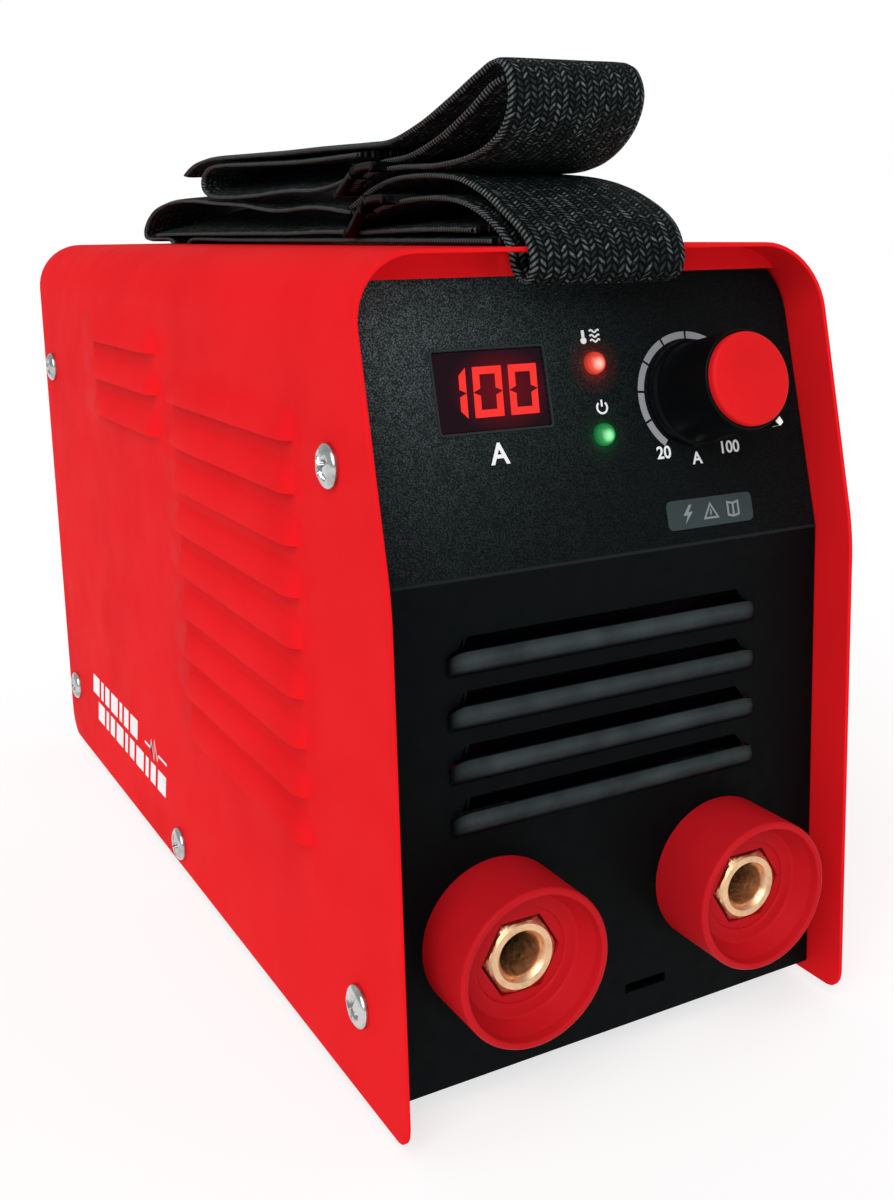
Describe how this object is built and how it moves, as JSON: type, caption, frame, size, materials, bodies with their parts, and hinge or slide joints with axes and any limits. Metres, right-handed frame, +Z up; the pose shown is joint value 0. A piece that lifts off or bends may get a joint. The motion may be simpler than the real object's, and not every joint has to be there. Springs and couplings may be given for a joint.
{
  "type": "stick welding inverter",
  "caption": "Sheet-metal stick welding power source with output sockets, display, current knob, rear fan, mains switch and webbing carrying strap.",
  "frame": {"origin": "under the middle of the machine, on the surface that its rubber feet rest on", "axes": "+Z up, -Y towards the front with the sockets and the display, +X to the right as seen from the front"},
  "size_m": [0.121, 0.3128, 0.2225],
  "materials": {
    "cover_paint": "gloss powder coat",
    "panel_plastic": "leather-grained moulding",
    "case_screw_metal": "bright plated",
    "base_steel": "satin black",
    "foot_rubber": "matt",
    "plated_steel": "zinc plated",
    "knob_plastic": "satin",
    "cap_plastic": "gloss",
    "window_plastic": "smoked gloss",
    "display_plastic": "satin",
    "red_lamp": "diffused",
    "green_lamp": "diffused",
    "spacer_plastic": "satin",
    "label_film": "satin",
    "socket_plastic": "gloss",
    "contact_brass": "turned",
    "busbar_copper": "bright",
    "insulator_plastic": "satin",
    "fan_plastic": "satin",
    "guard_wire": "bright plated",
    "switch_plastic": "semi-gloss",
    "gland_plastic": "satin",
    "seal_rubber": "matt",
    "board_laminate": "solder resist",
    "sink_aluminium": "extruded",
    "chip_plastic": "satin",
    "core_ferrite": "sintered",
    "winding_copper": "enamelled",
    "capacitor_sleeve": "satin",
    "strap_webbing": "woven",
    "slider_plastic": "satin"
  },
  "bodies": {
    "chassis": {"cover": "cover_paint", "front_panel": "panel_plastic", "rear_panel": "panel_plastic", "base_plate": "base_steel", "cover_screws": "case_screw_metal", "base_screws": "plated_steel", "rubber_feet": "foot_rubber", "feet_screws": "plated_steel", "potentiometer": "plated_steel", "pot_nut": "plated_steel", "display_window": "window_plastic", "display_module": "display_plastic", "overload_lamp": "red_lamp", "power_lamp": "green_lamp", "lamp_spacers": "spacer_plastic", "label_plate": "label_film", "negative_socket_collar": "socket_plastic", "positive_socket_collar": "socket_plastic", "negative_brass_insert": "contact_brass", "positive_brass_insert": "contact_brass", "negative_busbar": "busbar_copper", "positive_busbar": "busbar_copper", "socket_insulators": "insulator_plastic", "socket_washers": "plated_steel", "socket_nuts": "contact_brass", "fan_frame": "fan_plastic", "fan_guard": "guard_wire", "fan_screws": "case_screw_metal", "fan_nuts": "plated_steel", "mains_switch": "switch_plastic", "gland_body": "gland_plastic", "gland_seal": "seal_rubber", "gland_nut": "gland_plastic", "gland_lock_nut": "gland_plastic", "control_board": "board_laminate", "power_board": "board_laminate", "board_posts": "plated_steel", "board_screws": "plated_steel", "transistor_heat_sink": "sink_aluminium", "transistor_packages": "chip_plastic", "rectifier_heat_sink": "sink_aluminium", "rectifier_packages": "chip_plastic", "transformer_core": "core_ferrite", "transformer_winding": "winding_copper", "output_choke": "core_ferrite", "filter_capacitors": "capacitor_sleeve", "bridge_rectifier": "chip_plastic", "soft_start_relay": "chip_plastic", "strap_front_loop": "strap_webbing", "strap_upper_loop": "strap_webbing", "strap_rear_loop": "strap_webbing", "strap_folded_run": "strap_webbing", "front_strap_slider": "slider_plastic", "upper_strap_slider": "slider_plastic"},
    "current_dial": {"knob_body": "knob_plastic", "knob_cap": "cap_plastic", "pot_shaft": "sink_aluminium"},
    "impeller": {"fan_rotor": "fan_plastic"},
    "power_rocker": {"switch_rocker": "switch_plastic"}
  },
  "joints": [
    {"name": "knob_turn", "type": "hinge", "parent": "chassis", "child": "current_dial", "pos_m": [0.0262, -0.13043, 0.14964], "axis": [0, -0.9711, 0.2385], "range_deg": [0, 289]},
    {"name": "fan_spin", "type": "hinge", "parent": "chassis", "child": "impeller", "pos_m": [0, 0.1405, 0.065], "axis": [0, 1, 0], "continuous": true},
    {"name": "rocker_tilt", "type": "hinge", "parent": "chassis", "child": "power_rocker", "pos_m": [0.028, 0.142, 0.145], "axis": [1, 0, 0], "range_deg": [-20, 0]}
  ]
}
